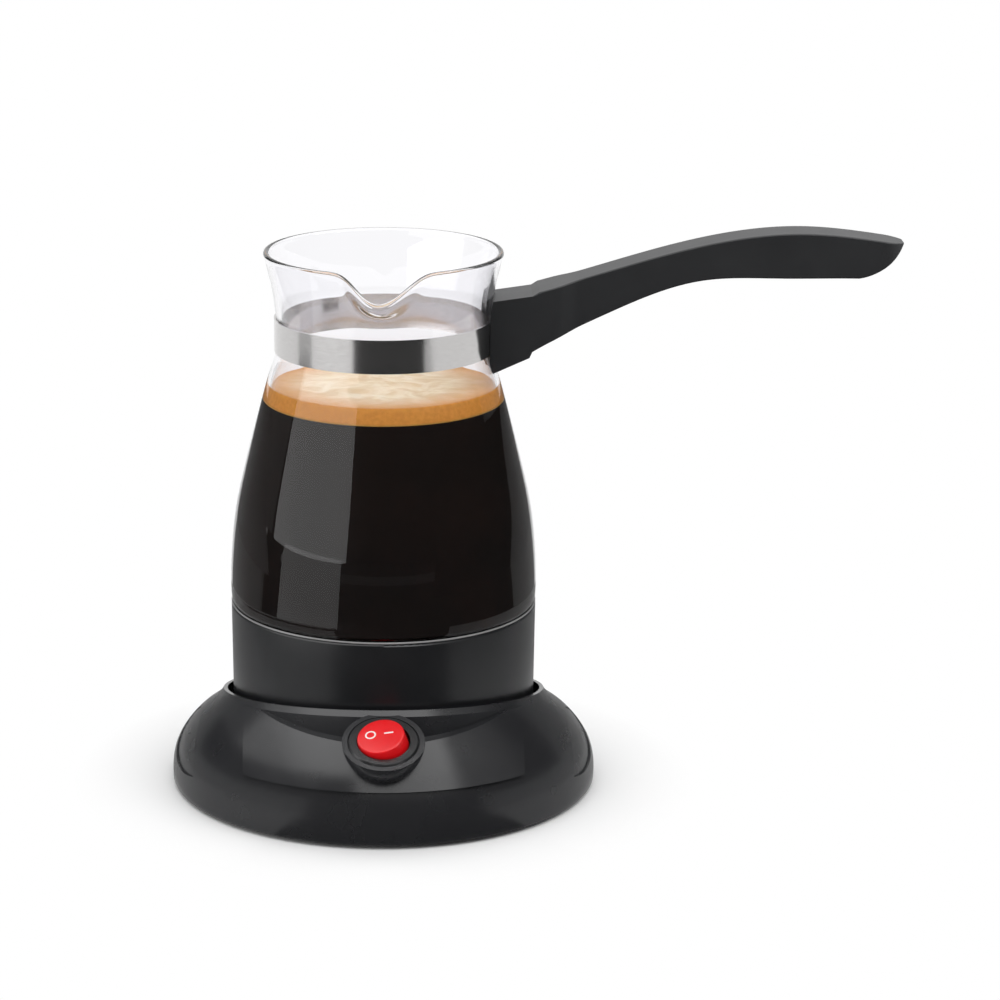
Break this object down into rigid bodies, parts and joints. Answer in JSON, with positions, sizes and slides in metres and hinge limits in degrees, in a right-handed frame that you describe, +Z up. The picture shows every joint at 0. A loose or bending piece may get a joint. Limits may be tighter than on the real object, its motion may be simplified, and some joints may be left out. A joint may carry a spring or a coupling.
{
  "type": "electric turkish coffee maker",
  "caption": "Electric Turkish coffee maker: glass jug with spout, long handle and heated collar that lifts off a round base with a tilted rim and a red rocker switch.",
  "frame": {"origin": "on the jug's axis at the height of the table, in the middle of the foot ring", "axes": "+Z up along the jug's axis, spout and switch towards -Y, handle towards +X"},
  "size_m": [0.2363, 0.1479, 0.1848],
  "materials": {
    "clear_glass": "clear, faintly tinted",
    "brushed_band": "brushed round the neck",
    "handle_plastic": "satin",
    "collar_plastic": "satin",
    "base_plastic": "fine grain",
    "control_plastic": "moulded",
    "block_plastic": "moulded",
    "switch_plastic": "polished",
    "rocker_plastic": "polished",
    "screw_steel": "zinc plated",
    "plate_steel": "stainless",
    "cast_aluminium": "as cast",
    "contact_brass": "plain",
    "silicone": "matte",
    "foot_rubber": "matte"
  },
  "bodies": {
    "base": {"base_housing": "base_plastic", "base_floor": "base_plastic", "base_floor_screws": "screw_steel", "foot_ring": "foot_rubber", "base_hub": "control_plastic", "base_contacts": "contact_brass", "cord_gland": "foot_rubber", "cord_clamp": "control_plastic", "cord_clamp_screws": "screw_steel", "terminal_block": "block_plastic", "switch_body": "switch_plastic", "switch_terminals": "contact_brass"},
    "jug": {"glass_jug": "clear_glass", "neck_band": "brushed_band", "handle_grip": "handle_plastic", "handle_cover": "handle_plastic", "handle_cover_screws": "screw_steel", "band_screw": "screw_steel", "collar": "collar_plastic", "jug_floor": "base_plastic", "jug_floor_screws": "screw_steel", "heating_plate": "plate_steel", "glass_gasket": "silicone", "heat_spreader": "cast_aluminium", "heating_element": "plate_steel", "thermostat": "control_plastic", "thermal_fuse": "control_plastic", "jug_control": "control_plastic", "control_screws": "screw_steel", "jug_contacts": "contact_brass"},
    "rocker": {"switch_rocker": "rocker_plastic"}
  },
  "joints": [
    {"name": "jug_lift", "type": "slide", "parent": "base", "child": "jug", "axis": [0, 0, 1], "range_m": [0, 0.04]},
    {"name": "rocker_turn", "type": "hinge", "parent": "base", "child": "rocker", "pos_m": [0, -0.06388, 0.03201], "axis": [0, 0.9135, 0.4067], "range_deg": [0, 20]}
  ]
}
